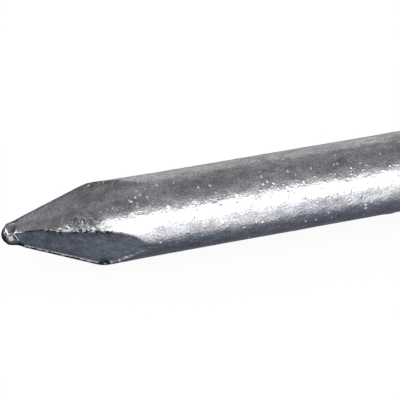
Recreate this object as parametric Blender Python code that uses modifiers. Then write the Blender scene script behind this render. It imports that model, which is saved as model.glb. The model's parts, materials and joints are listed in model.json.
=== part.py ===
"""A zinc-coated round wire nail, 3.75 mm x 75 mm, with a flat chequered head and a diamond point.

The nail is one piece of steel wire, so it is one object. It lies along X: the origin is the centre
of the struck face of the head, +X points out of that face, and the tip is at -X. The four flats of
the point face +Y, -Y, +Z and -Z. Units are metres.
"""

import math

import bmesh
import bpy
from mathutils import Matrix, Vector

MM = 0.001

# Driving dimensions. A flat-headed nail's length is measured from under its head.
SHANK_DIAMETER = 3.75 * MM
NAIL_LENGTH = 75.0 * MM
HEAD_DIAMETER = 8.0 * MM
HEAD_THICKNESS = 1.2 * MM

# Roundings of the head's profile.
STRUCK_EDGE_ROUND = 0.35 * MM
SEAT_EDGE_ROUND = 0.25 * MM
NECK_FILLET = 0.55 * MM

# The point: two shallower flats on the +Y and +Z sides, two steeper ones on the -Y and -Z sides.
SHALLOW_FLAT_ANGLE = math.radians(12.7)
STEEP_FLAT_ANGLE = math.radians(16.5)
POINT_OFFSET = 0.35 * MM  # how far the point leans off the shank's axis, towards +Y and +Z
BEAD_RADIUS = 0.48 * MM  # the zinc that ran together at the tip
BLUNT_LENGTH = 0.90 * MM  # from the corner where the flats would meet to the end of the bead
BEAD_OVERLAP = 0.18 * MM  # how far the cut flats run into the bead, past its centre

# Marks of the gripping dies, under the head on two opposite sides.
GRIP_MARK_COUNT = 7
GRIP_MARK_PITCH = 0.85 * MM
GRIP_MARK_START = 1.6 * MM  # from under the head to the first mark
GRIP_MARK_DEPTH = 0.10 * MM
GRIP_MARK_RADIUS = 0.30 * MM

# The chequer pressed into the struck face.
CHEQUER_GROOVES = 8  # each way
CHEQUER_PITCH = 0.95 * MM
CHEQUER_DEPTH = 0.12 * MM

ROUND_STEPS = 64
ARC_STEPS = 5
MERGE_DISTANCE = 1e-6
SHARP_EDGE_ANGLE = math.radians(12)

SHANK_RADIUS = SHANK_DIAMETER / 2
HEAD_RADIUS = HEAD_DIAMETER / 2
TIP_X = -(HEAD_THICKNESS + NAIL_LENGTH)
ALONG = Vector((1, 0, 0))
LEAN = Vector((0, 1, 1)).normalized()  # in the parting plane of the cutting dies
PINCH = Vector((0, -1, 1)).normalized()  # the way the cutting and gripping dies close
APEX = ALONG * (TIP_X - BLUNT_LENGTH) + LEAN * POINT_OFFSET


def clear_scene():
    for obj in list(bpy.data.objects):
        bpy.data.objects.remove(obj)


def new_collection(name):
    collection = bpy.data.collections.new(name)
    bpy.context.scene.collection.children.link(collection)
    return collection


def zinc_material():
    material = bpy.data.materials.new("zinc_coated_steel")
    material.use_nodes = True
    shader = material.node_tree.nodes["Principled BSDF"]
    shader.inputs["Base Color"].default_value = (0.56, 0.57, 0.60, 1)
    shader.inputs["Metallic"].default_value = 1.0
    shader.inputs["Roughness"].default_value = 0.32
    return material


def arc(centre_r, centre_z, radius, start, end):
    """Points (r, z) on an arc of the profile, with both ends. Angles are in degrees from +r."""
    angles = [math.radians(start + (end - start) * i / ARC_STEPS) for i in range(ARC_STEPS + 1)]
    return [(centre_r + radius * math.cos(a), centre_z + radius * math.sin(a)) for a in angles]


def blank_profile():
    """The nail before its point is cut, as (r, z) points from the struck face down to the tip."""
    struck_edge = arc(HEAD_RADIUS - STRUCK_EDGE_ROUND, -STRUCK_EDGE_ROUND, STRUCK_EDGE_ROUND, 90, 0)
    seat_edge = arc(
        HEAD_RADIUS - SEAT_EDGE_ROUND, SEAT_EDGE_ROUND - HEAD_THICKNESS, SEAT_EDGE_ROUND, 0, -90
    )
    neck = arc(SHANK_RADIUS + NECK_FILLET, -HEAD_THICKNESS - NECK_FILLET, NECK_FILLET, 90, 180)
    end_z = TIP_X + BEAD_RADIUS - BEAD_OVERLAP
    return [(0, 0), *struck_edge, *seat_edge, *neck, (SHANK_RADIUS, end_z), (0, end_z)]


def nail_blank(collection):
    """The head and shank, turned about their axis and laid along X."""
    profile = blank_profile()
    mesh = bpy.data.meshes.new("nail")
    edges = [(i, i + 1) for i in range(len(profile) - 1)]
    mesh.from_pydata([(r, 0, z) for r, z in profile], edges, [])
    nail = bpy.data.objects.new("nail", mesh)
    nail.rotation_euler = (0, math.radians(90), 0)
    collection.objects.link(nail)
    screw = nail.modifiers.new("turned", "SCREW")
    screw.steps = ROUND_STEPS
    screw.render_steps = ROUND_STEPS
    screw.use_merge_vertices = True
    screw.merge_threshold = MERGE_DISTANCE
    screw.use_smooth_shade = False
    return nail


def new_tool(name, collection, shape):
    """A helper object for the Booleans, made from a bmesh that is already in place."""
    mesh = bpy.data.meshes.new(name)
    shape.to_mesh(mesh)
    shape.free()
    tool = bpy.data.objects.new(name, mesh)
    tool.hide_render = True
    tool.display_type = "WIRE"
    collection.objects.link(tool)
    return tool


def placed(centre, x_axis, y_axis):
    """A matrix that carries the local X and Y axes onto two directions, at a centre."""
    turn = Matrix((x_axis, y_axis, x_axis.cross(y_axis))).transposed().to_4x4()
    return Matrix.Translation(centre) @ turn


def flat_cutter(name, collection, outward, angle):
    """A block whose underside lies on one flat of the point, which passes through the apex."""
    size = 4 * SHANK_DIAMETER
    slope = ALONG * math.cos(angle) + outward * math.sin(angle)
    normal = outward * math.cos(angle) - ALONG * math.sin(angle)
    centre = APEX + (slope + normal) * size / 2
    shape = bmesh.new()
    bmesh.ops.create_cube(shape, size=size, matrix=placed(centre, slope, normal))
    return new_tool(name, collection, shape)


def tip_bead(collection):
    """The rounded end of the point, centred between the flats."""
    run = BLUNT_LENGTH + BEAD_RADIUS
    drift = run * (math.tan(STEEP_FLAT_ANGLE) - math.tan(SHALLOW_FLAT_ANGLE)) / math.sqrt(2)
    centre = ALONG * (TIP_X + BEAD_RADIUS) + LEAN * (POINT_OFFSET - drift)
    shape = bmesh.new()
    bmesh.ops.create_uvsphere(
        shape,
        u_segments=ROUND_STEPS // 2,
        v_segments=ROUND_STEPS // 4,
        radius=BEAD_RADIUS,
        matrix=placed(centre, PINCH, LEAN),
    )
    return new_tool("tip_bead", collection, shape)


def grip_mark_cutter(collection):
    """Short round bars across the shank, on the two sides that the gripping dies hold."""
    reach = SHANK_RADIUS + GRIP_MARK_RADIUS - GRIP_MARK_DEPTH
    shape = bmesh.new()
    for side in (PINCH, -PINCH):
        for i in range(GRIP_MARK_COUNT):
            x = -(HEAD_THICKNESS + GRIP_MARK_START + i * GRIP_MARK_PITCH)
            bmesh.ops.create_cone(
                shape,
                cap_ends=True,
                segments=ROUND_STEPS // 4,
                radius1=GRIP_MARK_RADIUS,
                radius2=GRIP_MARK_RADIUS,
                depth=SHANK_DIAMETER,
                matrix=placed(ALONG * x + side * reach, side, ALONG),
            )
    return new_tool("grip_marks", collection, shape)


def chequer_cutter(name, collection, along_groove):
    """Square bars on edge, which press one set of V grooves into the struck face."""
    across = along_groove.cross(ALONG)
    side = 4 * CHEQUER_DEPTH
    half_diagonal = side / math.sqrt(2)
    height = half_diagonal - CHEQUER_DEPTH
    shape = bmesh.new()
    for i in range(CHEQUER_GROOVES):
        offset = (i - (CHEQUER_GROOVES - 1) / 2) * CHEQUER_PITCH
        centre = across * offset + ALONG * height
        stretch = Matrix.Diagonal((side, 2 * HEAD_DIAMETER, side, 1))
        on_edge = Matrix.Rotation(math.radians(45), 4, "Y")
        matrix = placed(centre, across, along_groove) @ on_edge @ stretch
        bmesh.ops.create_cube(shape, size=1, matrix=matrix)
    return new_tool(name, collection, shape)


def add_boolean(obj, tool, operation):
    boolean = obj.modifiers.new(tool.name, "BOOLEAN")
    boolean.object = tool
    boolean.operation = operation


def cut_point(nail, tools):
    """The cutting dies leave four flats, and the zinc leaves a bead where they meet."""
    flats = {
        "flat_plus_y": (Vector((0, 1, 0)), SHALLOW_FLAT_ANGLE),
        "flat_plus_z": (Vector((0, 0, 1)), SHALLOW_FLAT_ANGLE),
        "flat_minus_y": (Vector((0, -1, 0)), STEEP_FLAT_ANGLE),
        "flat_minus_z": (Vector((0, 0, -1)), STEEP_FLAT_ANGLE),
    }
    for name, (outward, angle) in flats.items():
        add_boolean(nail, flat_cutter(name, tools, outward, angle), "DIFFERENCE")
    add_boolean(nail, tip_bead(tools), "UNION")


def press_marks(nail, tools):
    """The marks that the gripping dies and the heading punch leave."""
    add_boolean(nail, grip_mark_cutter(tools), "DIFFERENCE")
    add_boolean(nail, chequer_cutter("chequer_one_way", tools, LEAN), "DIFFERENCE")
    add_boolean(nail, chequer_cutter("chequer_other_way", tools, PINCH), "DIFFERENCE")


def apply_modifiers(obj):
    """Gives the object its evaluated shape as its own mesh."""
    evaluated = obj.evaluated_get(bpy.context.evaluated_depsgraph_get())
    shaped = bpy.data.meshes.new_from_object(evaluated)
    obj.modifiers.clear()
    obj.data = shaped


def shade_round(obj):
    """Smooth across the round surfaces, with the flats' edges left crisp."""
    obj.data.shade_smooth()
    obj.data.set_sharp_from_angle(angle=SHARP_EDGE_ANGLE)


def main():
    clear_scene()
    parts = new_collection("round_wire_nail")
    tools = new_collection("cutters")
    nail = nail_blank(parts)
    nail.data.materials.append(zinc_material())
    cut_point(nail, tools)
    press_marks(nail, tools)
    apply_modifiers(nail)
    shade_round(nail)


main()
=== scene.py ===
"""The looks of the zinc-coated nail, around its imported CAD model.

The nail is one piece of wire, so one fine mesh stands for the CAD solid. Its shank is swept ring by
ring: each point is found on an implicit shape (the wire, the four flats of its point, the bands of
wire surface left between them, the fins, the bead of zinc, the grip marks), and is then moved by the
coating's lumps and pits. Its head is a turned profile with the chequer cut into the struck face.

Lengths are in metres and MM is one millimetre. Directions around the axis are angles from -Y that
turn towards +Z, so the point's four flats look along 0, 90, 180 and 270 degrees. Reach means the
distance behind the apex. Where something comes or goes gradually, its place is a pair of numbers:
where the change starts and where it ends.
"""

import json
import math

import bmesh
import bpy
import numpy as np
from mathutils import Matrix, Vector, noise


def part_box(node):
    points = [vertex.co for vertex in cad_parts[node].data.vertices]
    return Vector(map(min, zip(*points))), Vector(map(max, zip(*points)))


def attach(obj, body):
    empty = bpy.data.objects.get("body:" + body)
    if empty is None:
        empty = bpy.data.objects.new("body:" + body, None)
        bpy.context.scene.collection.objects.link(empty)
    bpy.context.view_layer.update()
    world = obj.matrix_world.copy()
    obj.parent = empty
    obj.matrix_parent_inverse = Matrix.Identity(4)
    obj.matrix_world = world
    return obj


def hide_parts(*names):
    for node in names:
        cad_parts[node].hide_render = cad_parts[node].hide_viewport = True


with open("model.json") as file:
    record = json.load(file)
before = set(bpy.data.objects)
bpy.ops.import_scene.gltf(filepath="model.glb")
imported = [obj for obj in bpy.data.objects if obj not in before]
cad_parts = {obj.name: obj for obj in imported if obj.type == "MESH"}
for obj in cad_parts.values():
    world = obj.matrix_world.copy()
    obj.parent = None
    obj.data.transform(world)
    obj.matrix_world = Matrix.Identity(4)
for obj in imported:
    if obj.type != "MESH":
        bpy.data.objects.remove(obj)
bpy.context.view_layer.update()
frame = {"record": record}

MM = 0.001
SEED = 7

# The nail's size and places, from the frame. The centre of the struck face is the origin.
LOW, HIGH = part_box("nail")
TIP_X = LOW.x
HEAD_RADIUS = HIGH.z
MOUNTS = {mount["name"]: mount for mount in frame["record"]["mounts"]}
SEAT_X = MOUNTS["head_seat"]["pos_m"][0]
SHANK_RADIUS = 1.875 * MM

# The point's flats meet at the apex, beyond the blunt tip and a little off the shank's axis.
SHALLOW_SLOPE = math.radians(12.7)
STEEP_SLOPE = math.radians(16.95)
FRONT_FLATS = (math.radians(90), math.radians(0))  # where the shallow and the steep one look
BACK_FLATS = (math.radians(180), math.radians(270))
PARTING = math.radians(135)  # the cutting dies met in this direction and in the opposite one
PINCH = math.radians(45)  # the dies closed along this direction
POINT_OFFSET = 0.35 * MM
BLUNT_LENGTH = 0.90 * MM
SHALLOW_TRIM = 0.024 * MM  # how much deeper than their nominal place the flats were cut
STEEP_TRIM = 0.031 * MM
CRISP_EDGE = 0.03 * MM

# The band of wire surface left standing between a shallow and a steep flat. It starts where the dies
# tore away from the ridge, and its crease with the steep flat moves down from the ridge.
BAND_START = 2.6 * MM  # reach
BAND_FULL = 3.5 * MM
BAND_END = 5.1 * MM
BAND_INSET = 0.32 * MM
BAND_GROWTH = 0.175
BAND_ANGLE_START = math.radians(55)
BAND_ANGLE_END = math.radians(45)

# How softly the shapes of the point run into each other. Facing is 1 for what looks along the pinch.
BAND_SOFTNESS = 0.28 * MM
BAND_FACING = (0.45, 0.75)
WIRE_SOFTNESS = 0.30 * MM
FAR_END_SOFTNESS = 0.22 * MM  # of the steep flats' far ends
FAR_END_FACING = (0.15, 0.45)
FAR_END_MIDDLE = (0.66, 0.80)
FAR_END_REACH = (5.4 * MM, 6.4 * MM)

# The bead of zinc at the tip, and the neck behind it, where the front and back ridges start.
BEAD_RADIUS = 0.460 * MM
BEAD_THICKNESS = 0.44 * MM  # its half size along the pinch
BEAD_OFFSET = 0.228 * MM
BEAD_BLEND = 0.19 * MM
LEAST_SIDEWAYS = BEAD_RADIUS / 9  # keeps the facing defined near the axis
CUT_END = 0.31 * MM  # where the flats end inside the bead, from the tip
NECK_PLACE = 0.555 * MM
NECK_DEPTH = 0.062 * MM
NECK_WIDTH = 0.090 * MM
NECK_SLANT = 0.5
NECK_REACH = 0.33 * MM  # on both sides of the ridge
NECK_SIDES = (0.15 * MM, 0.35 * MM)  # off the parting plane

# The thin fins that squeezed out where the dies met, and the swelling behind them.
FIN_WIDTH = 0.046 * MM
LOWER_FIN_HEIGHT = 0.048 * MM
UPPER_FIN_HEIGHT = 0.018 * MM
UPPER_CORNER = 4.8 * MM  # reach
LOWER_CORNER = 5.3 * MM
FIN_START = (1.3 * MM, 2.0 * MM)
FIN_END = (-0.4 * MM, 0.9 * MM)  # from the corner
UPPER_SWELL = 0.085 * MM
LOWER_SWELL = 0.015 * MM
SWELL_LENGTH = 1.4 * MM
SWELL_WIDTH = 0.5 * MM

# The lip that the dies pushed up at the flats' far ends, next to the fins.
LIP_HEIGHT = 0.045 * MM
LIP_PLACE = 0.050 * MM  # inside the wire's surface
LIP_WIDTH = 0.028 * MM
LIP_START = (4.6 * MM, 5.1 * MM)
LIP_INNER = (FIN_WIDTH, 5 * FIN_WIDTH)  # off the parting plane
LIP_OUTER = (0.55 * MM, 1.1 * MM)

# Marks of the gripping dies, under the head.
GRIP_MARKS = 7
GRIP_PITCH = 0.85 * MM
GRIP_START = 1.6 * MM
GRIP_DEPTH = 0.10 * MM
GRIP_RADIUS = 0.30 * MM
GRIP_SOFTNESS = 0.03 * MM

# The head's roundings, how far a die left it out of round, and its chequer.
NECK_FILLET = 0.55 * MM
SEAT_EDGE_ROUND = 0.25 * MM
STRUCK_EDGE_ROUND = 0.35 * MM
OVAL_SHARE = 0.012
OVAL_TURN = 1.0  # radians
LOBES = 5
LOBE_SHARE = 0.004
CHEQUER_GROOVES = 8
CHEQUER_PITCH = 0.95 * MM
CHEQUER_DEPTH = 0.12 * MM
GROOVE_TOP = 0.13 * MM  # half widths
GROOVE_BOTTOM = 0.03 * MM

# The mesh's fineness. The gaps between rings change at stops, which are distances from the tip.
SEGMENTS = 192
POINT_EDGES = 4
CAP_RINGS = 18
ARC_STEPS = 6
SEAT_STEPS = 7
RING_STOPS_AND_GAPS = [
    (0 * MM, 0.03 * MM),
    (1.0 * MM, 0.03 * MM),
    (1.3 * MM, 0.046 * MM),
    (6.3 * MM, 0.046 * MM),
    (8 * MM, 0.08 * MM),
    (19 * MM, 0.13 * MM),
    (30 * MM, 0.5 * MM),
    (55 * MM, 0.9 * MM),
    (66 * MM, 0.13 * MM),
    (75 * MM, 0.13 * MM),
]
EDGE_CROWDING = 0.55  # how much closer together the mesh's lines run along the point's four edges
CROWDING_END = (4.5 * MM, 7 * MM)  # from the tip
LEAN_LENGTH = 7 * MM  # over which the rings' centres move from the bead's to the shank's axis
BISECTIONS = 32
MERGE_DISTANCE = 1e-7
SHARP_EDGE_ANGLE = math.radians(40)


# ---- shape of the shank and the point ----


def across(angle):
    """Unit vectors across the nail, at angles around its axis."""
    angle = np.asarray(angle, float)
    return np.stack([np.zeros_like(angle), -np.cos(angle), np.sin(angle)], axis=-1)


APEX = np.array([TIP_X - BLUNT_LENGTH, 0, 0]) + POINT_OFFSET * across(PARTING)
BEAD_CENTRE = np.array([TIP_X + BEAD_RADIUS, 0, 0]) + BEAD_OFFSET * across(PARTING)


def smooth_max(a, b, width):
    """The larger of two distances, with the edge where they meet rounded over a width."""
    share = np.clip(width - np.abs(a - b), 0, None) / width
    return np.maximum(a, b) + share**2 * width / 4


def smooth_min(a, b, width):
    return -smooth_max(-a, -b, width)


def rising(x, start_and_end):
    """0 before the start, 1 past the end, and a smooth step between them."""
    start, end = start_and_end
    share = np.clip((x - start) / (end - start), 0, 1)
    return share * share * (3 - 2 * share)


def falling(x, start_and_end):
    return 1 - rising(x, start_and_end)


def hump(x, centre, width):
    return np.exp(-(((x - centre) / width) ** 2))


def reach_of(points):
    """Distance behind the apex."""
    return points[..., 0] - APEX[0]


def from_tip(points):
    return points[..., 0] - TIP_X


def off_parting(points):
    """Distance from the plane in which the dies met."""
    return np.abs(points @ across(PINCH))


def by_half(points, upper, lower):
    """One value in the half of the nail towards the upper fin, and another in the other half."""
    return np.where(points @ across(PARTING) > 0, upper, lower)


def sloping_flat(points, angle, slope, trim):
    """Distance outside a flat of the point."""
    from_apex = points - APEX
    rise = from_apex @ across(angle) + trim
    return rise * math.cos(slope) - from_apex[..., 0] * math.sin(slope)


def shallow_flat(points, angle):
    return sloping_flat(points, angle, SHALLOW_SLOPE, SHALLOW_TRIM)


def steep_flat(points, angle):
    return sloping_flat(points, angle, STEEP_SLOPE, STEEP_TRIM)


def band(points, shallow_angle, steep_angle):
    """Distance outside the band, a ruled surface that hangs on its crease with the steep flat."""
    from_apex = points - APEX
    reach = from_apex[..., 0]
    growth = BAND_INSET + BAND_GROWTH * (reach - BAND_FULL)
    inset = rising(reach, (BAND_START, BAND_FULL)) * growth
    steep_height = from_apex @ across(steep_angle) - reach * math.tan(STEEP_SLOPE)
    shallow_height = from_apex @ across(shallow_angle) - reach * math.tan(SHALLOW_SLOPE) + inset
    opening = rising(reach, (BAND_FULL, BAND_END))
    angle = BAND_ANGLE_START + (BAND_ANGLE_END - BAND_ANGLE_START) * opening
    return (steep_height * np.cos(angle) + shallow_height * np.sin(angle)) * math.cos(SHALLOW_SLOPE)


def softened(share, softness):
    """The width of an edge that goes from crisp to a softness as a share goes from 0 to 1."""
    return CRISP_EDGE + (softness - CRISP_EDGE) * share


def pinched_side(points, wire, shallow_angle, steep_angle, ridge_angle):
    """A shallow flat that rounds over into the band and the wire, and a crisp steep flat."""
    reach = reach_of(points)
    sideways = np.hypot(points[..., 1], points[..., 2])
    facing = points @ across(ridge_angle) / np.maximum(sideways, LEAST_SIDEWAYS)
    on_band = rising(facing, BAND_FACING) * rising(reach, (BAND_START, BAND_FULL))
    free = smooth_max(band(points, shallow_angle, steep_angle), wire, WIRE_SOFTNESS)
    rounded = smooth_max(shallow_flat(points, shallow_angle), free, softened(on_band, BAND_SOFTNESS))
    far_end = rising(facing, FAR_END_FACING) * falling(facing, FAR_END_MIDDLE)
    far_end = far_end * rising(reach, FAR_END_REACH)
    steep = steep_flat(points, steep_angle)
    return smooth_max(rounded, steep, softened(far_end, FAR_END_SOFTNESS))


def swelling(points):
    """How much the shank swells towards the corners where the cutting dies met."""
    corner = by_half(points, UPPER_CORNER, LOWER_CORNER)
    height = by_half(points, UPPER_SWELL, LOWER_SWELL)
    fade = np.exp(-np.clip(reach_of(points) - corner, 0, None) / SWELL_LENGTH)
    return height * fade * hump(off_parting(points), 0, SWELL_WIDTH)


def wire_distance(points):
    """Distance outside the uncut wire."""
    return np.hypot(points[..., 1], points[..., 2]) - SHANK_RADIUS - swelling(points)


def lip(points):
    """Height of the lip at the flats' far ends."""
    beside_fin = falling(off_parting(points), LIP_OUTER) * rising(off_parting(points), LIP_INNER)
    behind = rising(reach_of(points), LIP_START)
    return LIP_HEIGHT * beside_fin * behind * hump(wire_distance(points), -LIP_PLACE, LIP_WIDTH)


def cut_wire(points):
    """Distance outside the wire and the four flats of its point."""
    wire = wire_distance(points)
    front = pinched_side(points, wire, *FRONT_FLATS, PINCH)
    back = pinched_side(points, wire, *BACK_FLATS, PINCH + math.pi)
    return smooth_max(front, back, CRISP_EDGE)


def bead(points):
    """Distance outside the bead of zinc, which is a little flatter along the pinch."""
    from_centre = points - BEAD_CENTRE
    flattening = BEAD_RADIUS / BEAD_THICKNESS - 1
    squeezed = (from_centre @ across(PINCH))[..., None] * across(PINCH) * flattening
    return np.linalg.norm(from_centre + squeezed, axis=-1) - BEAD_RADIUS


def beside_ridge(points):
    """Distance to either side of the front and back ridges, near the bead."""
    return np.abs(points @ across(PARTING) - BEAD_OFFSET)


def behind_tip(points):
    """Distance from the tip along lines that slant back on both sides of the ridge."""
    return from_tip(points) - NECK_SLANT * beside_ridge(points)


def neck(points):
    """Depth of the neck behind the bead, on the front and the back."""
    front_and_back = rising(off_parting(points), NECK_SIDES)
    sideways = hump(beside_ridge(points), 0, NECK_REACH)
    return NECK_DEPTH * hump(behind_tip(points), NECK_PLACE, NECK_WIDTH) * front_and_back * sideways


def parting_fins(points):
    """Height of the fins along the two edges where the cutting dies met."""
    reach = reach_of(points)
    corner = by_half(points, UPPER_CORNER, LOWER_CORNER)
    height = by_half(points, UPPER_FIN_HEIGHT, LOWER_FIN_HEIGHT)
    length = rising(reach, FIN_START) * falling(reach - corner, FIN_END)
    return height * length * hump(off_parting(points), 0, FIN_WIDTH)


def grip_marks(points):
    """Distance inside the nearest of the round bars that press the grip marks."""
    first = SEAT_X - GRIP_START
    index = np.clip(np.round((first - points[..., 0]) / GRIP_PITCH), 0, GRIP_MARKS - 1)
    along = points[..., 0] - (first - index * GRIP_PITCH)
    height = off_parting(points) - (SHANK_RADIUS + GRIP_RADIUS - GRIP_DEPTH)
    return GRIP_RADIUS - np.hypot(along, height)


def nail_distance(points):
    """Signed distance, roughly, from the surface of the shank, its point and its bead."""
    cut = cut_wire(points) - parting_fins(points) - lip(points)
    cut = np.maximum(cut, CUT_END - from_tip(points))
    with_bead = smooth_min(cut, bead(points), BEAD_BLEND) + neck(points)
    return smooth_max(with_bead, grip_marks(points), GRIP_SOFTNESS)


def cast(origins, directions):
    """Where rays from inside the nail leave it, by bisection."""
    near = np.zeros(directions.shape[:-1])
    far = np.full(directions.shape[:-1], 2 * SHANK_RADIUS)
    for _ in range(BISECTIONS):
        middle = (near + far) / 2
        inside = nail_distance(origins + directions * middle[..., None]) < 0
        near = np.where(inside, middle, near)
        far = np.where(inside, far, middle)
    return origins + directions * near[..., None]


# ---- rings of the fine mesh ----


def ring_places():
    """The rings' places along X, from the bead's centre to the neck under the head."""
    start = BEAD_CENTRE[0]
    end = SEAT_X - NECK_FILLET
    stops, gaps = zip(*RING_STOPS_AND_GAPS)
    places = [start]
    while places[-1] < end:
        places.append(places[-1] + float(np.interp(places[-1] - TIP_X, stops, gaps)))
    places = np.array(places)
    return start + (places - start) * (end - start) / (places[-1] - start)


def ring_angles(places):
    """Angles around each ring, closer together near the point's four edges."""
    even = np.linspace(0, 2 * math.pi, SEGMENTS, endpoint=False)
    crowding = EDGE_CROWDING * falling(places - TIP_X, CROWDING_END)
    shift = crowding[:, None] / POINT_EDGES * np.sin(POINT_EDGES * (even - PARTING))
    return even - shift


def cap_rays():
    """Rays from the bead's centre that fan out from the tip to square across the nail."""
    tilts = np.linspace(0, math.pi / 2, CAP_RINGS + 1)[1:-1]
    angles = ring_angles(np.full(len(tilts), TIP_X))
    backwards = np.array([-1.0, 0, 0])
    directions = np.cos(tilts)[:, None, None] * backwards
    directions = directions + np.sin(tilts)[:, None, None] * across(angles)
    return np.broadcast_to(BEAD_CENTRE, directions.shape), directions


def shank_rays():
    """Rays square across the nail, from a centre line that starts in the bead."""
    places = ring_places()
    drift = falling(places - BEAD_CENTRE[0], (0, LEAN_LENGTH))
    centres = places[:, None] * np.array([1.0, 0, 0]) + BEAD_OFFSET * drift[:, None] * across(PARTING)
    directions = across(ring_angles(places))
    return np.broadcast_to(centres[:, None, :], directions.shape), directions


def arc(centre_x, centre_r, radius, start, end):
    """Points (x, r) on an arc of the head's profile, with both ends, in degrees from +r to +x."""
    angles = np.radians(np.linspace(start, end, ARC_STEPS + 1))
    return [(centre_x + radius * math.sin(a), centre_r + radius * math.cos(a)) for a in angles]


def head_profile():
    """The head's profile as (x, r) points, from the neck to the edge of the flat struck face."""
    fillet = arc(SEAT_X - NECK_FILLET, SHANK_RADIUS + NECK_FILLET, NECK_FILLET, 180, 90)[1:]
    seat_start = SHANK_RADIUS + NECK_FILLET
    seat_end = HEAD_RADIUS - SEAT_EDGE_ROUND
    seat = [(SEAT_X, r) for r in np.linspace(seat_start, seat_end, SEAT_STEPS + 1)[1:-1]]
    seat_edge = arc(SEAT_X + SEAT_EDGE_ROUND, seat_end, SEAT_EDGE_ROUND, -90, 0)
    struck_edge = arc(-STRUCK_EDGE_ROUND, HEAD_RADIUS - STRUCK_EDGE_ROUND, STRUCK_EDGE_ROUND, 0, 90)
    return fillet + seat + seat_edge + struck_edge


def head_rings():
    """The head's rings, upset a little out of round as a die leaves it."""
    angles = ring_angles(np.zeros(1))[0]
    oval = OVAL_SHARE * (1 + np.cos(2 * angles + OVAL_TURN)) / 2
    lobes = LOBE_SHARE * (1 + np.cos(LOBES * angles)) / 2
    rings = []
    for x, r in head_profile():
        radius = r * (1 - (oval + lobes) * rising(r, (SHANK_RADIUS, HEAD_RADIUS)))
        rings.append(across(angles) * radius[:, None] + np.array([x, 0, 0]))
    return np.array(rings)


# ---- the zinc's own shape ----

# Round nodules on the first part of the shank: places from the tip (mm), radii (mm), and heights as
# shares of the radius.
LUMP_COUNT = 260
LUMP_PLACES = (3.5, 21)
LUMP_RADII = (0.09, 0.2)
LUMP_HEIGHTS = (0.04, 0.10)

# Marks on this nail, in mm and degrees: start (distance from the tip, angle), end, half width and
# height.
MARKS = [
    ((8.17, -17), (8.27, -15), 0.06, -0.07),
    ((7.35, 75), (7.35, 75), 0.05, -0.03),
    ((4.25, 130), (4.25, 130), 0.07, 0.06),
    ((4.29, 129), (4.90, 122.5), 0.045, 0.045),
    ((4.60, -38), (4.60, -38), 0.06, 0.03),
    ((4.42, -45), (4.42, -45), 0.24, -0.035),
    ((4.20, 135), (4.20, 135), 0.20, -0.025),
]
STROKE_TAIL = 3  # half widths past its ends where a stroke has faded to nothing
LEAST_RUN = 1e-18  # square metres, for strokes that are dots

# Slow unevenness of the drawn wire and its coating.
WAVE_HEIGHT = 0.009 * MM
WAVE_SIZE = 1.1 * MM
WAVE_STRETCH = 2.2  # along the wire
RIPPLE_HEIGHT = 0.003 * MM
RIPPLE_SIZE = 0.42 * MM

# The wire surface left on the bands came out crumpled, most of all near the tip.
CRUMPLE_HEIGHT = 0.013 * MM
CRUMPLE_SIZE = 0.09 * MM
CRUMPLE_START = (2.9 * MM, 3.3 * MM)
CRUMPLE_END = (4.3 * MM, 5.6 * MM)
CRUMPLE_DEPTH = (0.17 * MM, 0.34 * MM)  # below the planes of the steep flats
CRUMPLE_NEAR_TIP = 1.5
CRUMPLE_LOSS = 1.1
CRUMPLE_LOSS_REACH = (3.7 * MM, 4.5 * MM)

PRESSED_BLEND = 0.04 * MM


def add_stroke(heights, points, angles, start, end, half_width, height):
    """Adds a smooth ridge, or a scratch where height is negative, between two (x, angle) places."""
    start = np.array([start[0], start[1] * SHANK_RADIUS])
    end = np.array([end[0], end[1] * SHANK_RADIUS])
    ring_x = points[:, 0, 0]
    tail = STROKE_TAIL * half_width
    near = (ring_x > min(start[0], end[0]) - tail) & (ring_x < max(start[0], end[0]) + tail)
    rows = np.flatnonzero(near)
    if len(rows) == 0:
        return
    rows = slice(rows[0], rows[-1] + 1)
    middle = (start[1] + end[1]) / 2 / SHANK_RADIUS
    turn = (angles[rows] - middle + math.pi) % (2 * math.pi) - math.pi + middle
    places = np.stack([points[rows, :, 0], turn * SHANK_RADIUS], axis=-1)
    run = end - start
    share = np.clip((places - start) @ run / max(float(run @ run), LEAST_RUN), 0, 1)
    away = np.linalg.norm(places - start - share[..., None] * run, axis=-1)
    heights[rows] += height * hump(away, 0, half_width)


def add_lumps(random, heights, points, angles):
    """Adds round nodules of zinc at random."""
    for _ in range(LUMP_COUNT):
        place = (TIP_X + random.uniform(*LUMP_PLACES) * MM, random.uniform(-math.pi, math.pi))
        radius = random.uniform(*LUMP_RADII) * MM
        height = radius * random.uniform(*LUMP_HEIGHTS)
        add_stroke(heights, points, angles, place, place, radius, height)


def zinc_heights(points, angles):
    """How far the coating stands out from the wire, for a grid of rings."""
    heights = np.zeros(points.shape[:-1])
    add_lumps(np.random.default_rng(SEED), heights, points, angles)
    for start, end, half_width, height in MARKS:
        start = (TIP_X + start[0] * MM, math.radians(start[1]))
        end = (TIP_X + end[0] * MM, math.radians(end[1]))
        add_stroke(heights, points, angles, start, end, half_width * MM, height * MM)
    return heights


def noise_field(points, size, stretch=1.0):
    """Smooth noise at every point, with blobs of a size that may be stretched along the wire."""
    flat_points = points.reshape(-1, 3) / size
    flat_points[:, 0] /= stretch
    values = [noise.noise(point) for point in flat_points.tolist()]
    return np.array(values).reshape(points.shape[:-1])


def waves(points):
    slow = WAVE_HEIGHT * noise_field(points, WAVE_SIZE, WAVE_STRETCH)
    return slow + RIPPLE_HEIGHT * noise_field(points, RIPPLE_SIZE)


def flats_distance(points):
    """Distance outside the nearest of the four flats."""
    shallow = [shallow_flat(points, angle) for angle, _ in (FRONT_FLATS, BACK_FLATS)]
    steep = [steep_flat(points, angle) for _, angle in (FRONT_FLATS, BACK_FLATS)]
    return np.max(shallow + steep, axis=0)


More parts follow.
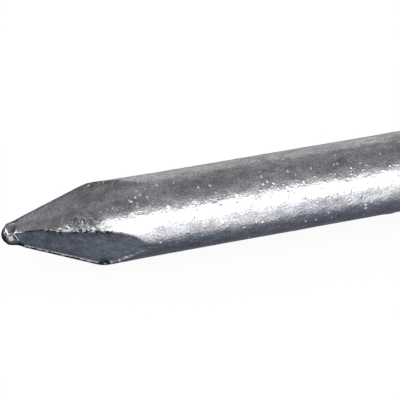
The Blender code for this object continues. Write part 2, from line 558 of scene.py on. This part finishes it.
def below_steep_flats(points):
    """Depth below the planes of the steep flats."""
    return -np.max([steep_flat(points, angle) for _, angle in (FRONT_FLATS, BACK_FLATS)], axis=0)


def pressed(points):
    """How much of the surface a cutting die has smoothed: 1 on the flats, 0 elsewhere."""
    return np.clip(1 + flats_distance(points) / PRESSED_BLEND, 0, 1)


def crumple(points):
    """Crumpled wire surface along the bands."""
    reach = reach_of(points)
    share = rising(reach, CRUMPLE_START) * falling(reach, CRUMPLE_END)
    share = share * falling(below_steep_flats(points), CRUMPLE_DEPTH) * (1 - pressed(points))
    heights = np.zeros(points.shape[:-1])
    places = share > 0
    heights[places] = CRUMPLE_HEIGHT * noise_field(points[places], CRUMPLE_SIZE)
    return heights * share * (CRUMPLE_NEAR_TIP - CRUMPLE_LOSS * rising(reach, CRUMPLE_LOSS_REACH))


# ---- looks that follow the shape ----

# How smooth the metal is on the point where no die touched it, and where that fades.
POINT_SMOOTHNESS = 0.8
POINT_END = (4.8 * MM, 6.8 * MM)

# Painted shade on the fins' crests.
CREST_HEIGHT = (0.010 * MM, 0.020 * MM)  # above the flats
CREST_WIDTH = 3 * FIN_WIDTH
CREST_START = (1.5 * MM, 1.7 * MM)
CREST_END = (5.4 * MM, 6.0 * MM)
UPPER_CREST_LOSS = 0.5
UPPER_CREST_REACH = (2.0 * MM, 2.8 * MM)

# Painted shade at the tip: the bead's rim and the edges behind it, off the parting plane and from the
# tip.
RIM_DARKNESS = 0.7
RIM_SIDES = (0.13 * MM, 0.30 * MM)
RIM_END = (0.3 * MM, 0.6 * MM)
EDGE_SIDES = (0.06 * MM, 0.16 * MM)
EDGE_END = (0.8 * MM, 1.2 * MM)

# Painted shade on the seam behind the bead, and on the dull zone between the bead's two highlights.
SEAM_DARKNESS = 0.25
SEAM_PLACE = NECK_PLACE - 0.03 * MM
SEAM_WIDTH = 0.03 * MM
DULL_DARKNESS = 0.55
DULL_PLACE = 0.42 * MM
DULL_WIDTH = 0.09 * MM
DULL_REACH = 0.35 * MM
TIP_FACES = (0.1 * MM, 0.25 * MM)  # off the parting plane

# Painted shade along the sharp ridges near the tip, and along the bands' creases with the steep flats.
RIDGE_DARKNESS = 0.62
RIDGE_WIDTH = 0.044 * MM
RIDGE_START = (1.75 * MM, 1.95 * MM)
RIDGE_END = (BAND_START, 3.0 * MM)
RIDGE_SIDES = (0.2 * MM, 0.4 * MM)  # off the parting plane
CREASE_DARKNESS = 0.7
CREASE_WIDTH = 1.1 * RIDGE_WIDTH
CREASE_START = (BAND_START, 3.2 * MM)
CREASE_END = (6.0 * MM, 7.6 * MM)

# Painted shade where the flats end at the wire, wider next to the upper fin, and at the lower corner.
FAR_END_DARKNESS = 0.7
FAR_LINE_WIDTH = 0.026 * MM
FAR_LINE_START = (4.4 * MM, 4.8 * MM)
UPPER_LINE_SPREAD = 2.0
UPPER_LINE_NARROWING = 1.3
UPPER_LINE_NECK = (0.2, 0.45)  # off the parting plane, in shank radii
UPPER_LINE_END = (0.25, 0.55)
LOWER_LINE_END = (0.25, 0.45)
CORNER_SHADE_SIZE = 0.38 * MM
CORNER_SETBACK = 0.14 * MM
CORNER_INSET = 0.08 * MM

# A darker tone on parts of the surface: on the steep flats near the tip and on the shallow flats' far
# ends, and painted shade under the bands' creases and where the bands open into the wire.
STEEP_EDGE = (0.01 * MM, 0.04 * MM)  # below the planes of the steep flats
STEEP_DARKENING = 0.30
SHALLOW_DARKENING = 0.18
DARKENING_REACH = (2.2 * MM, 5.5 * MM)
# Painted shade under the bands' creases with the steep flats.
UNDER_CREASE_SHADE = 0.26
UNDER_CREASE_PLACE = -0.12 * MM
UNDER_CREASE_WIDTH = 0.15 * MM
UNDER_CREASE_START = (2.4 * MM, 3.0 * MM)
# Painted shade where the bands open into the wire.
BAND_SHADE = 0.6
BAND_SHADE_DEPTH = (0.35 * MM, 0.68 * MM)
BAND_SHADE_START = (3.6 * MM, 4.4 * MM)
BAND_SHADE_END = (4.9 * MM, 5.9 * MM)

# Painted shade in the pits of the shank:
PITS = [(8.2, -17, 0.09), (7.35, 75, 0.06)]  # distance from the tip (mm), angle, size (mm)


def smoothness(points):
    """How smooth the metal is: 1 on the flats, less on the rest of the point, 0 on the shank."""
    return np.maximum(pressed(points), POINT_SMOOTHNESS * falling(reach_of(points), POINT_END))


def crest_shade(points):
    """Painted shade darkens the fins' crests, most of all near the tip and along the lower edge."""
    reach = reach_of(points)
    proud = rising(flats_distance(points), CREST_HEIGHT)
    share = by_half(points, 1 - UPPER_CREST_LOSS * rising(reach, UPPER_CREST_REACH), 1)
    length = rising(reach, CREST_START) * falling(reach, CREST_END)
    return proud * share * length * hump(off_parting(points), 0, CREST_WIDTH)


def tip_shade(points):
    """Painted shade darkens the bead's rim, the edges behind it, the seams behind the bead, and the
    dull zone between its two highlights.
    """
    off_plane = off_parting(points)
    rim = falling(off_plane, RIM_SIDES) * falling(from_tip(points), RIM_END)
    edge = falling(off_plane, EDGE_SIDES) * falling(from_tip(points), EDGE_END)
    seam = hump(behind_tip(points), SEAM_PLACE, SEAM_WIDTH) * hump(beside_ridge(points), 0, NECK_REACH)
    dull = hump(behind_tip(points), DULL_PLACE, DULL_WIDTH) * hump(beside_ridge(points), 0, DULL_REACH)
    faces = (SEAM_DARKNESS * seam + DULL_DARKNESS * dull) * rising(off_plane, TIP_FACES)
    return RIM_DARKNESS * np.maximum(rim, edge) + faces


def ridge_shade(points):
    """The front and back ridges are darkened with painted shade where they are sharp, and so are the
    bands' creases.
    """
    reach = reach_of(points)
    sharp = RIDGE_DARKNESS * falling(reach, RIDGE_END)
    creased = CREASE_DARKNESS * rising(reach, CREASE_START) * falling(reach, CREASE_END)
    total = np.zeros(points.shape[:-1])
    for shallow_angle, steep_angle in (FRONT_FLATS, BACK_FLATS):
        steep = hump(steep_flat(points, steep_angle), 0, RIDGE_WIDTH)
        ridge = hump(shallow_flat(points, shallow_angle), 0, RIDGE_WIDTH)
        crease = hump(band(points, shallow_angle, steep_angle), 0, CREASE_WIDTH)
        total = total + steep * (sharp * ridge + creased * crease)
    return total * rising(off_parting(points), RIDGE_SIDES) * rising(reach, RIDGE_START)


def far_end_line(points):
    """A dark line of painted shade where the flats end at the wire."""
    off_plane = off_parting(points) / SHANK_RADIUS
    upper_spread = UPPER_LINE_SPREAD - UPPER_LINE_NARROWING * rising(off_plane, UPPER_LINE_NECK)
    width = FAR_LINE_WIDTH * by_half(points, upper_spread, 1)
    line = hump(flats_distance(points) - wire_distance(points), width / 2, width)
    fade = by_half(points, falling(off_plane, UPPER_LINE_END), falling(off_plane, LOWER_LINE_END))
    return line * rising(reach_of(points), FAR_LINE_START) * fade


def corner_shade(points):
    """A dark blob of painted shade across the lower corner."""
    drop = (LOWER_CORNER * math.tan(STEEP_SLOPE) - STEEP_TRIM) * math.sqrt(2) - CORNER_INSET
    corner = APEX + np.array([LOWER_CORNER - CORNER_SETBACK, 0, 0]) - drop * across(PARTING)
    from_corner = points - corner
    along = from_corner[..., 0]
    down = from_corner @ across(PARTING)
    sideways = off_parting(points) - CORNER_SHADE_SIZE / 2
    away = np.sqrt(along**2 + down**2 + sideways**2)
    return falling(away, (CORNER_SHADE_SIZE / 2, CORNER_SHADE_SIZE))


def steep_darkening_and_shade(points):
    """The steep flats are darker near the tip, and darkened with painted shade under their creases
    with the bands.
    """
    reach = reach_of(points)
    on_steep = falling(below_steep_flats(points), STEEP_EDGE)
    under_crease = np.zeros(points.shape[:-1])
    for shallow_angle, steep_angle in (FRONT_FLATS, BACK_FLATS):
        here = falling(-steep_flat(points, steep_angle), STEEP_EDGE)
        below = band(points, shallow_angle, steep_angle)
        here = here * hump(below, UNDER_CREASE_PLACE, UNDER_CREASE_WIDTH)
        under_crease = np.maximum(under_crease, here)
    under_crease = under_crease * rising(reach, UNDER_CREASE_START)
    return STEEP_DARKENING * on_steep * falling(reach, DARKENING_REACH) + UNDER_CREASE_SHADE * under_crease


def upper_darkening_and_shade(points):
    """The shallow flats are darker at their far ends, and the bands get painted shade where they open
    into the wire.
    """
    reach = reach_of(points)
    below = below_steep_flats(points)
    far = SHALLOW_DARKENING * pressed(points) * rising(reach, DARKENING_REACH)
    opening = rising(reach, BAND_SHADE_START) * falling(reach, BAND_SHADE_END)
    opening = BAND_SHADE * falling(below, BAND_SHADE_DEPTH) * opening
    return rising(below, STEEP_EDGE) * (far + opening)


def pit_shade(points):
    """Painted shade in the pits in the shank."""
    total = np.zeros(points.shape[:-1])
    for place, degrees, size in PITS:
        centre = np.array([TIP_X + place * MM, 0, 0]) + SHANK_RADIUS * across(math.radians(degrees))
        total = total + hump(np.linalg.norm(points - centre, axis=-1), 0, size * MM)
    return total


def painted_shade(points):
    """How much the zinc is darkened: painted shade on the crests, the tip, the ridges, creases, far
    ends, lower corner and pits, and a darker tone on parts of the flats.
    """
    shade_on_edges = crest_shade(points) + tip_shade(points) + ridge_shade(points)
    far_end = FAR_END_DARKNESS * (far_end_line(points) + corner_shade(points))
    return np.clip(shade_on_edges + far_end + steep_darkening_and_shade(points) + upper_darkening_and_shade(points) + pit_shade(points), 0, 1)


def add_attribute(data, name, values):
    attribute = data.attributes.new(name, "FLOAT", "POINT")
    attribute.data.foreach_set("value", values.astype(np.float32))


# ---- the mesh itself ----


def nail_rings():
    """All the rings of vertices from the tip to the edge of the struck face."""
    cap_origins, cap_directions = cap_rays()
    shank_origins, shank_directions = shank_rays()
    origins = np.concatenate([cap_origins, shank_origins])
    directions = np.concatenate([cap_directions, shank_directions])
    points = cast(origins, directions)
    angles = np.arctan2(points[..., 2], -points[..., 1])
    relief = zinc_heights(points, angles) + waves(points) + crumple(points)
    points = points + directions * relief[..., None]
    head = head_rings()
    share = rising(np.linalg.norm(head[..., 1:], axis=-1), (SHANK_RADIUS, HEAD_RADIUS))
    head = head + across(ring_angles(np.zeros(1))) * (waves(head) * (1 + share))[..., None]
    return np.concatenate([points, head])


def skin_mesh(rings):
    """A closed mesh through the rings: a fan at the tip and one face for the struck face."""
    tip_point = cast(BEAD_CENTRE[None, :], np.array([[-1.0, 0, 0]]))[0]
    mesh = bmesh.new()
    tip = mesh.verts.new(tip_point)
    loops = [[mesh.verts.new(co) for co in ring] for ring in rings]
    count = len(loops[0])
    for i in range(count):
        j = (i + 1) % count
        mesh.faces.new((tip, loops[0][j], loops[0][i]))
        for lower, upper in zip(loops, loops[1:]):
            mesh.faces.new((lower[i], lower[j], upper[j], upper[i]))
    mesh.faces.new(loops[-1])
    bmesh.ops.recalc_face_normals(mesh, faces=mesh.faces)
    return mesh


def groove_offsets():
    return [(i - (CHEQUER_GROOVES - 1) / 2) * CHEQUER_PITCH for i in range(CHEQUER_GROOVES)]


def cut_chequer_lines(mesh, faces):
    """Cuts the struck end's faces along the edges of every groove."""
    edges = {edge for face in faces for edge in face.edges}
    verts = {vert for face in faces for vert in face.verts}
    cut = {*faces, *edges, *verts}
    for direction in (across(PARTING), across(PINCH)):
        for offset in groove_offsets():
            for side in (-GROOVE_TOP, -GROOVE_BOTTOM, GROOVE_BOTTOM, GROOVE_TOP):
                result = bmesh.ops.bisect_plane(
                    mesh,
                    geom=list(cut),
                    dist=MERGE_DISTANCE,
                    plane_co=Vector(direction * (offset + side)),
                    plane_no=Vector(direction),
                )
                cut = set(result["geom"])


def groove_depth(place):
    """Depth of the chequer at a place on the struck face."""
    deepest = 0.0
    for direction in (across(PARTING), across(PINCH)):
        along = float(np.dot(place, direction))
        gap = min(abs(along - offset) for offset in groove_offsets())
        share = (GROOVE_TOP - gap) / (GROOVE_TOP - GROOVE_BOTTOM)
        deepest = max(deepest, CHEQUER_DEPTH * min(max(share, 0.0), 1.0))
    return deepest


def press_chequer(mesh):
    """Cuts the chequer's lines and presses the struck face down along its grooves."""
    struck_end = [
        face for face in mesh.faces if min(vert.co.x for vert in face.verts) > -STRUCK_EDGE_ROUND
    ]
    cut_chequer_lines(mesh, struck_end)
    for vert in mesh.verts:
        if vert.co.x > -CHEQUER_DEPTH:
            vert.co.x = min(vert.co.x, -groove_depth(vert.co))


def nail_skin():
    """The whole nail as one object, with the values that its material reads at every vertex."""
    mesh = skin_mesh(nail_rings())
    press_chequer(mesh)
    data = bpy.data.meshes.new("nail_skin")
    mesh.to_mesh(data)
    mesh.free()
    data.shade_smooth()
    data.set_sharp_from_angle(angle=SHARP_EDGE_ANGLE)
    points = np.empty(3 * len(data.vertices))
    data.vertices.foreach_get("co", points)
    points = points.reshape(-1, 3)
    add_attribute(data, "smoothness", smoothness(points))
    # The material darkens the zinc by this attribute: mostly painted shade, with a darker tone on
    # parts of the flats.
    add_attribute(data, "painted_shade", painted_shade(points))
    skin = bpy.data.objects.new("nail_skin", data)
    bpy.context.scene.collection.objects.link(skin)
    return skin


# ---- materials ----

# The zinc's colour drifts, and its tone swings around 1. A squeeze makes blobs longer along the wire.
BLUISH_ZINC = (0.543, 0.56, 0.595)
WARM_ZINC = (0.577, 0.56, 0.553)
DRIFT_SIZE = 0.9 * MM
DRIFT_SQUEEZE = 0.5
DRIFT_RANGE = (0.35, 0.65)  # of the noise
CRYSTAL_SIZE = 0.075 * MM
CRYSTAL_SWING = (1.7, 1.8)  # where the metal is rough and where it is smooth
BLOTCHES = (0.32 * MM, 0.6, 1.2)  # size, squeeze, swing
PATCHES = (1.5 * MM, 0.4, 0.8)
CRISP_NOISE = 0.6  # roughness of the noises for what is fine and crisp

# The painted shade is patchy, and never quite black.
SHADE_PATCH_SIZE = 0.16 * MM
SHADE_PATCH_RANGE = (0.35, 0.6)
SHADE_PATCH_SHARES = (0.6, 1.35)
DARKEST_SHADE = 0.97

# Nodules: cell size, share of the cells that hold one, and radii in cells. They get a painted
# highlight on top and painted shade around their foot, and are matt.
LARGE_NODULES = (0.26 * MM, 0.32)
SMALL_NODULES = (0.17 * MM, 0.45)
SMALL_NODULE_HEIGHT = 0.6
NODULE_RADII = (0.28, 0.50)
NODULES_PRESSED = 0.05  # what is left of them where the metal is smooth
NODULE_HIGHLIGHT = 1.3
NODULE_FOOT_SHADE = 2.2
NODULE_MATTNESS = 0.38
GLOSS_SIZE = 0.5 * MM
GLOSS_RANGE = (0.3, 0.7)
ROUGHNESS = (0.14, 0.25)

# The bump that is finer than the mesh, and its parts as shares.
BUMP_DISTANCE = 0.016 * MM
GRAIN_SIZE = 0.09 * MM
GRAIN_HEIGHT = 0.85
DRAWN_LINE_HEIGHT = 0.15
DRAWN_LINE_SQUEEZE = 0.08
SMOOTH_GRAIN = 0.5  # what is left of them where the metal is smooth
NODULE_BUMP = 0.9

# The floor's own light, and the little that it takes from the room.
FLOOR_GLOW = 0.93
FLOOR_GREY = (0.08, 0.08, 0.08)
FLOOR_ROUGHNESS = 0.9


def new_material(name):
    material = bpy.data.materials.new(name)
    material.use_nodes = True
    nodes = material.node_tree.nodes
    return material, material.node_tree, nodes["Principled BSDF"]


def noise_node(tree, place, size, detail=2.0, roughness=0.5):
    """Noise between 0 and 1, with blobs of a size."""
    node = tree.nodes.new("ShaderNodeTexNoise")
    node.inputs["Scale"].default_value = 1 / size
    node.inputs["Detail"].default_value = detail
    node.inputs["Roughness"].default_value = roughness
    tree.links.new(place, node.inputs["Vector"])
    return node.outputs["Fac"]


def map_range(tree, value, from_range, to_range=(0.0, 1.0)):
    node = tree.nodes.new("ShaderNodeMapRange")
    node.inputs["From Min"].default_value, node.inputs["From Max"].default_value = from_range
    node.inputs["To Min"].default_value, node.inputs["To Max"].default_value = to_range
    tree.links.new(value, node.inputs["Value"])
    return node.outputs["Result"]


def math_node(tree, operation, a, b):
    """A calculation with two values, each a socket or a number."""
    node = tree.nodes.new("ShaderNodeMath")
    node.operation = operation
    for socket, value in zip(node.inputs, (a, b)):
        if isinstance(value, (int, float)):
            socket.default_value = value
        else:
            tree.links.new(value, socket)
    return node.outputs["Value"]


def times(tree, a, b):
    return math_node(tree, "MULTIPLY", a, b)


def plus(tree, a, b):
    return math_node(tree, "ADD", a, b)


def minus(tree, a, b):
    return math_node(tree, "SUBTRACT", a, b)


def mixed(tree, share, first, second):
    """Two colours, each a socket or a plain colour, mixed by a share."""
    mix = tree.nodes.new("ShaderNodeMix")
    mix.data_type = "RGBA"
    tree.links.new(share, mix.inputs["Factor"])
    sockets = [socket for socket in mix.inputs if socket.type == "RGBA"]
    for socket, colour in zip(sockets, (first, second)):
        if isinstance(colour, tuple):
            socket.default_value = (*colour, 1)
        else:
            tree.links.new(colour, socket)
    return next(socket for socket in mix.outputs if socket.type == "RGBA")


def nodules(tree, place, cell, share):
    """Round nodules of mixed sizes in a share of the cells of a Voronoi pattern, 1 at their tops."""
    cells = tree.nodes.new("ShaderNodeTexVoronoi")
    cells.inputs["Scale"].default_value = 1 / cell
    tree.links.new(place, cells.inputs["Vector"])
    split = tree.nodes.new("ShaderNodeSeparateColor")
    tree.links.new(cells.outputs["Color"], split.inputs["Color"])
    size = map_range(tree, split.outputs["Green"], (0.0, 1.0), NODULE_RADII)
    away = math_node(tree, "DIVIDE", cells.outputs["Distance"], size)
    dome = minus(tree, 1.0, times(tree, away, away))
    dome = math_node(tree, "MAXIMUM", dome, 0.0)
    dome = times(tree, dome, dome)
    chosen = math_node(tree, "LESS_THAN", split.outputs["Red"], share)
    return times(tree, dome, chosen)


def all_nodules(tree, place, smooth):
    """Large and small nodules, pressed flat where the metal is smooth."""
    small = times(tree, nodules(tree, place, *SMALL_NODULES), SMALL_NODULE_HEIGHT)
    domes = plus(tree, nodules(tree, place, *LARGE_NODULES), small)
    left = map_range(tree, smooth, (0.0, 1.0), (1.0, NODULES_PRESSED))
    return times(tree, domes, left)


def nodule_highlight_and_shade(tree, dome):
    """Nodules get a painted highlight on top and painted shade around their foot."""
    top = times(tree, dome, NODULE_HIGHLIGHT)
    foot = times(tree, dome, minus(tree, 1.0, dome))
    tone = minus(tree, top, times(tree, foot, NODULE_FOOT_SHADE))
    return plus(tree, tone, 1.0)


def stretched(tree, place, along):
    """Object coordinates squeezed along the wire, for marks that run along it."""
    mapping = tree.nodes.new("ShaderNodeMapping")
    mapping.inputs["Scale"].default_value = (along, 1, 1)
    tree.links.new(place, mapping.inputs["Vector"])
    return mapping.outputs["Vector"]


def attribute_value(tree, name):
    node = tree.nodes.new("ShaderNodeAttribute")
    node.attribute_name = name
    return node.outputs["Fac"]


def swing(tree, value, amount):
    """A noise value turned into a factor around 1, swinging by an amount that may be a socket."""
    centred = minus(tree, value, 0.5)
    return plus(tree, times(tree, centred, amount), 1.0)


def blobs(tree, place, size, squeeze, amount):
    """A factor around 1 that swings in soft blobs."""
    return swing(tree, noise_node(tree, stretched(tree, place, squeeze), size), amount)


def scaled(tree, colour, factor):
    node = tree.nodes.new("ShaderNodeVectorMath")
    node.operation = "SCALE"
    tree.links.new(colour, node.inputs["Vector"])
    tree.links.new(factor, node.inputs["Scale"])
    return node.outputs["Vector"]


def zinc_tint(tree, place):
    """The zinc's own colour, which drifts between a bluish and a warmer grey."""
    drift = noise_node(tree, stretched(tree, place, DRIFT_SQUEEZE), DRIFT_SIZE)
    return mixed(tree, map_range(tree, drift, DRIFT_RANGE), BLUISH_ZINC, WARM_ZINC)


def unshaded_share(tree, place):
    """How much of the zinc's brightness the painted shade leaves."""
    patchy = map_range(tree, noise_node(tree, place, SHADE_PATCH_SIZE), SHADE_PATCH_RANGE, SHADE_PATCH_SHARES)
    dark = times(tree, attribute_value(tree, "painted_shade"), patchy)
    return minus(tree, 1.0, math_node(tree, "MINIMUM", dark, DARKEST_SHADE))


def zinc_tone(tree, place, smooth, domes):
    """Brightness of the zinc: fine crystals, soft blotches, painted highlights and shade on the
    nodules, and painted shade where the shape asks for it.
    """
    crystal_swing = map_range(tree, smooth, (0.0, 1.0), CRYSTAL_SWING)
    factors = [
        swing(tree, noise_node(tree, place, CRYSTAL_SIZE, roughness=CRISP_NOISE), crystal_swing),
        blobs(tree, place, *BLOTCHES),
        blobs(tree, place, *PATCHES),
        nodule_highlight_and_shade(tree, domes),
        unshaded_share(tree, place),
    ]
    tone = factors[0]
    for factor in factors[1:]:
        tone = times(tree, tone, factor)
    return tone


def zinc_relief(tree, place, smooth, domes):
    """Height of the zinc's crystals, drawing lines and nodules, in units of the bump's distance."""
    grain = noise_node(tree, place, GRAIN_SIZE, roughness=CRISP_NOISE)
    drawn = noise_node(tree, stretched(tree, place, DRAWN_LINE_SQUEEZE), GRAIN_SIZE, detail=1)
    grain = times(tree, grain, GRAIN_HEIGHT)
    height = plus(tree, grain, times(tree, drawn, DRAWN_LINE_HEIGHT))
    left = map_range(tree, smooth, (0.0, 1.0), (1.0, SMOOTH_GRAIN))
    height = times(tree, height, left)
    return plus(tree, height, times(tree, domes, NODULE_BUMP))


def zinc_material():
    """Thin zinc on drawn wire: bright, lumpy, and a little uneven in tone and gloss."""
    material, tree, shader = new_material("zinc_coated_steel")
    place = tree.nodes.new("ShaderNodeTexCoord").outputs["Object"]
    smooth = attribute_value(tree, "smoothness")
    domes = all_nodules(tree, place, smooth)
    colour = scaled(tree, zinc_tint(tree, place), zinc_tone(tree, place, smooth, domes))
    tree.links.new(colour, shader.inputs["Base Color"])
    shader.inputs["Metallic"].default_value = 1.0

    gloss = map_range(tree, noise_node(tree, place, GLOSS_SIZE, detail=3), GLOSS_RANGE, ROUGHNESS)
    matt = times(tree, domes, NODULE_MATTNESS)
    tree.links.new(plus(tree, gloss, matt), shader.inputs["Roughness"])

    bump = tree.nodes.new("ShaderNodeBump")
    bump.inputs["Distance"].default_value = BUMP_DISTANCE
    tree.links.new(zinc_relief(tree, place, smooth, domes), bump.inputs["Height"])
    tree.links.new(bump.outputs["Normal"], shader.inputs["Normal"])
    return material


def light_table_material():
    """A pale sheet lit from below, so that hardly any shadow shows on it."""
    material, _, shader = new_material("light_table")
    shader.inputs["Base Color"].default_value = (*FLOOR_GREY, 1)
    shader.inputs["Roughness"].default_value = FLOOR_ROUGHNESS
    shader.inputs["Specular IOR Level"].default_value = 0.0
    shader.inputs["Emission Color"].default_value = (1, 1, 1, 1)
    shader.inputs["Emission Strength"].default_value = FLOOR_GLOW
    return material


# ---- stage ----

# What the nail mirrors, by the angle of the mirrored ray around the nail's axis, in degrees from -Y
# towards +Z: a wide softbox in front, a dark room above, a pale wall behind and a dark blue-grey
# table edge below.
STUDIO = [
    (-180, (0.46, 0.46, 0.46)),
    (-166, (0.34, 0.34, 0.34)),
    (-150, (0.30, 0.30, 0.30)),
    (-135, (0.12, 0.12, 0.125)),
    (-76, (0.088, 0.088, 0.110)),
    (-58, (0.106, 0.118, 0.153)),
    (-46, (0.127, 0.145, 0.180)),
    (-34, (0.20, 0.215, 0.265)),
    (-22, (0.86, 0.86, 0.89)),
    (0, (0.86, 0.86, 0.90)),
    (10, (0.98, 0.98, 1.02)),
    (19, (2.5, 2.5, 2.5)),
    (37, (2.5, 2.5, 2.5)),
    (49, (0.95, 0.95, 0.98)),
    (57, (0.56, 0.56, 0.59)),
    (63, (0.40, 0.40, 0.42)),
    (72, (0.29, 0.29, 0.305)),
    (82, (0.245, 0.243, 0.255)),
    (88, (0.185, 0.183, 0.195)),
    (94, (0.220, 0.218, 0.230)),
    (101, (0.165, 0.163, 0.175)),
    (108, (0.205, 0.203, 0.215)),
    (115, (0.150, 0.148, 0.160)),
    (124, (0.178, 0.176, 0.188)),
    (134, (0.285, 0.280, 0.290)),
    (139, (0.240, 0.235, 0.246)),
    (143, (0.135, 0.13, 0.145)),
    (148, (0.19, 0.185, 0.2)),
    (154, (0.36, 0.36, 0.37)),
    (161, (0.50, 0.50, 0.505)),
    (169, (0.34, 0.34, 0.345)),
    (180, (0.46, 0.46, 0.46)),
]
# The same past the softbox's near end, beyond the tip: another softbox above, and a dark room.
BEYOND_TIP = [
    (-180, (0.05, 0.05, 0.055)),
    (-30, (0.05, 0.05, 0.06)),
    (-12, (0.22, 0.22, 0.24)),
    (4, (0.45, 0.45, 0.47)),
    (18, (2.5, 2.5, 2.5)),
    (140, (2.5, 2.5, 2.5)),
    (152, (0.3, 0.3, 0.3)),
    (160, (0.05, 0.05, 0.055)),
    (180, (0.05, 0.05, 0.055)),
]
STUDIO_STRENGTH = 1.43
BACKDROP = 1.0  # the light from all round that the floor gets
END_SHADE = 0.85  # how dark the room is past the softboxes' ends
FAR_END_COLOUR = (0.60, 0.60, 0.61)  # what lies straight ahead of the nail's head

# Where the studio's lights start and end along the nail, as the ray's part along X.
TOWARDS_HEAD = (0.35, 0.7)
SOFTBOX_NEAR_END = (-0.45, -0.53)
SECOND_START = (-0.53, -0.59)
SECOND_END = (-0.90, -0.95)
FAR_END_START = (0.96, 0.995)
UPWARDS = (0.1, 0.5)  # rise of a ray that runs up or forwards


def lit(colour):
    """A colour of the studio at its full strength, with alpha."""
    return (*(STUDIO_STRENGTH * channel for channel in colour), 1)


def ramp_colour(tree, position, stops):
    """A colour ramp through stops at angles from -180 to 180 degrees."""
    ramp = tree.nodes.new("ShaderNodeValToRGB")
    elements = ramp.color_ramp.elements
    elements[0].color = lit(stops[0][1])
    elements[1].color = lit(stops[-1][1])
    for degrees, colour in stops[1:-1]:
        element = elements.new((degrees + 180) / 360)
        element.color = lit(colour)
    tree.links.new(position, ramp.inputs["Fac"])
    return ramp.outputs["Color"]


def gradual(tree, value, start_and_end):
    """0 before the start, 1 past the end, and a smooth step between them."""
    result = map_range(tree, value, start_and_end)
    result.node.interpolation_type = "SMOOTHSTEP"
    return result


def studio_colour(tree):
    """The studio's colour in the direction of a ray."""
    coordinates = tree.nodes.new("ShaderNodeTexCoord")
    split = tree.nodes.new("ShaderNodeSeparateXYZ")
    tree.links.new(coordinates.outputs["Generated"], split.inputs["Vector"])
    along, sideways, height = (split.outputs[axis] for axis in "XYZ")
    angle = math_node(tree, "ARCTAN2", height, times(tree, sideways, -1.0))
    position = map_range(tree, angle, (-math.pi, math.pi))
    upwards = gradual(tree, minus(tree, height, sideways), UPWARDS)

    second = gradual(tree, along, SECOND_START)
    studio = ramp_colour(tree, position, STUDIO)
    room = mixed(tree, second, studio, ramp_colour(tree, position, BEYOND_TIP))

    gap = minus(tree, gradual(tree, along, SOFTBOX_NEAR_END), second)
    gap = times(tree, gap, upwards)
    behind = times(tree, gradual(tree, along, TOWARDS_HEAD), upwards)
    shade = plus(tree, gap, gradual(tree, along, SECOND_END))
    shade = times(tree, plus(tree, behind, shade), END_SHADE)
    room = mixed(tree, shade, room, (0.0, 0.0, 0.0))
    return mixed(tree, gradual(tree, along, FAR_END_START), room, FAR_END_COLOUR)


def studio_world():
    """Soft light from all round for the floor, and the studio that the nail mirrors."""
    world = bpy.data.worlds.new("studio")
    world.use_nodes = True
    bpy.context.scene.world = world
    tree = world.node_tree
    paths = tree.nodes.new("ShaderNodeLightPath")
    backdrop = (BACKDROP, BACKDROP, BACKDROP)
    colour = mixed(tree, paths.outputs["Is Glossy Ray"], backdrop, studio_colour(tree))
    tree.links.new(colour, tree.nodes["Background"].inputs["Color"])


# The floor touches the head's rim and the shank's underside, where the point begins.
POINT_LENGTH = 4.9 * MM
REST_GAP = 0.03 * MM  # room for the lumps of the coating
FLOOR_SIZE = 4.0


def floor():
    """A pale floor on which the nail lies, on its head's rim and on the shank close to the point."""
    mesh = bmesh.new()
    bmesh.ops.create_grid(mesh, x_segments=1, y_segments=1, size=FLOOR_SIZE / 2)
    data = bpy.data.meshes.new("floor")
    mesh.to_mesh(data)
    mesh.free()
    plane = bpy.data.objects.new("floor", data)
    bpy.context.scene.collection.objects.link(plane)
    rim = Vector((SEAT_X / 2, 0, -HEAD_RADIUS))
    shank = Vector((TIP_X + POINT_LENGTH, 0, -SHANK_RADIUS - REST_GAP))
    slope = math.atan2(rim.z - shank.z, rim.x - shank.x)
    plane.rotation_euler = (0, -slope, 0)
    plane.location = rim
    plane.data.materials.append(light_table_material())
    plane.visible_glossy = False


# The camera looks down at the point from in front and to the left, close and with a long lens.
CAMERA_AZIMUTH = math.radians(-13.9)
CAMERA_ELEVATION = math.radians(45)
CAMERA_LENS = 118
CAMERA_DISTANCE = 60.0 * MM
AIM_FROM_TIP = 9.09 * MM
AIM_LIFT = 0.29 * MM  # up in the picture
CLIP_START = 1 * MM
CLIP_END = 100.0


def camera():
    """The camera, aimed at the shank behind the point."""
    data = bpy.data.cameras.new("camera")
    data.lens = CAMERA_LENS
    data.clip_start = CLIP_START
    data.clip_end = CLIP_END
    level = math.cos(CAMERA_ELEVATION)
    back = Vector(
        (
            math.sin(CAMERA_AZIMUTH) * level,
            -math.cos(CAMERA_AZIMUTH) * level,
            math.sin(CAMERA_ELEVATION),
        )
    )
    turn = back.to_track_quat("Z", "Y")
    aim = Vector((TIP_X + AIM_FROM_TIP, 0, 0)) + turn @ Vector((0, AIM_LIFT, 0))
    eye = bpy.data.objects.new("camera", data)
    eye.rotation_euler = turn.to_euler()
    eye.location = aim + back * CAMERA_DISTANCE
    bpy.context.scene.collection.objects.link(eye)
    bpy.context.scene.camera = eye


def main():
    skin = nail_skin()
    skin.data.materials.append(zinc_material())
    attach(skin, "root")
    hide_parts("nail")
    floor()
    studio_world()
    camera()
    bpy.context.scene.view_settings.view_transform = "Standard"


main()
